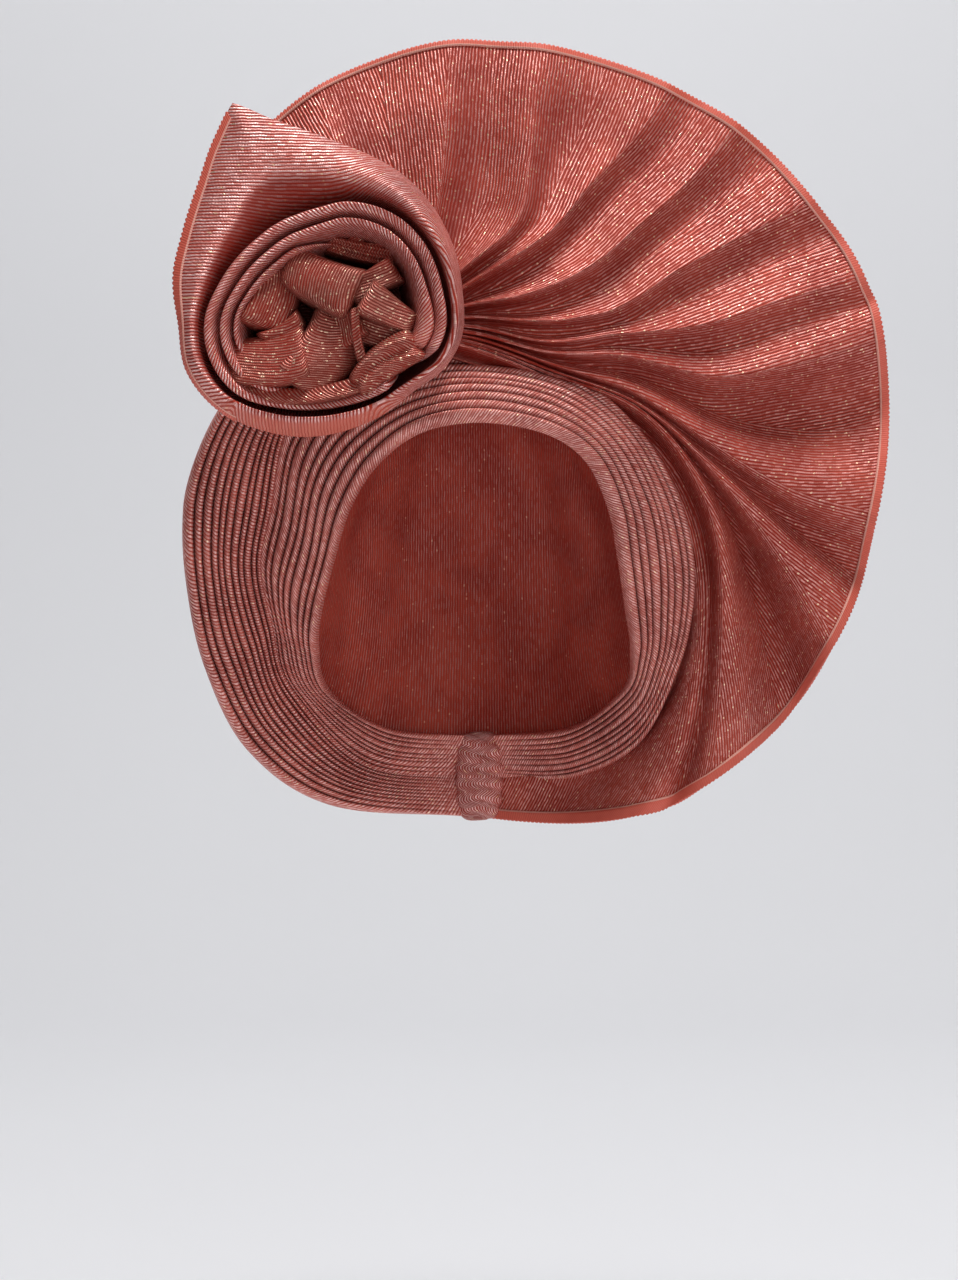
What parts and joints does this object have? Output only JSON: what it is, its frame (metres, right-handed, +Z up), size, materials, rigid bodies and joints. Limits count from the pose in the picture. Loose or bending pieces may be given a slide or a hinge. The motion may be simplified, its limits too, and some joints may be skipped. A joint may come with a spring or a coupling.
{
  "type": "tied gele head tie",
  "caption": "Gele head tie as worn: pleats round the face, a knot over the brow, a tall fan of radial folds to one side and a rolled rosette with a pointed petal to the other.",
  "frame": {"origin": "the middle of the wearer's head, at eye level", "axes": "+Z up, -Y the way the wearer faces, +X the wearer's left, which the fan opens towards"},
  "size_m": [0.3518, 0.2063, 0.3913],
  "materials": {
    "crown_cap": "plain woven cloth, dull",
    "brow_pleats": "ribbed metallic weave, satin",
    "wing_pleats": "ribbed metallic weave, satin",
    "fan": "ribbed metallic weave, satin",
    "knot": "plain woven cloth, dull",
    "nape_knot": "plain woven cloth, dull",
    "rose_petal": "ribbed metallic weave, satin",
    "rose_turn_outer": "ribbed metallic weave, satin",
    "rose_turn_inner": "ribbed metallic weave, satin",
    "rose_fold_1": "ribbed metallic weave, satin",
    "rose_fold_2": "ribbed metallic weave, satin",
    "rose_fold_3": "ribbed metallic weave, satin",
    "rose_fold_4": "ribbed metallic weave, satin",
    "rose_fold_5": "ribbed metallic weave, satin",
    "rose_fold_6": "ribbed metallic weave, satin",
    "rose_fold_7": "ribbed metallic weave, satin",
    "rose_fold_8": "ribbed metallic weave, satin",
    "rose_fold_9": "ribbed metallic weave, satin",
    "rose_fold_10": "ribbed metallic weave, satin"
  },
  "bodies": {
    "root": {"crown_cap": "crown_cap", "brow_pleats": "brow_pleats", "wing_pleats": "wing_pleats", "fan": "fan", "knot": "knot", "nape_knot": "nape_knot", "rose_petal": "rose_petal", "rose_turn_outer": "rose_turn_outer", "rose_turn_inner": "rose_turn_inner", "rose_fold_1": "rose_fold_1", "rose_fold_2": "rose_fold_2", "rose_fold_3": "rose_fold_3", "rose_fold_4": "rose_fold_4", "rose_fold_5": "rose_fold_5", "rose_fold_6": "rose_fold_6", "rose_fold_7": "rose_fold_7", "rose_fold_8": "rose_fold_8", "rose_fold_9": "rose_fold_9", "rose_fold_10": "rose_fold_10"}
  },
  "joints": []
}
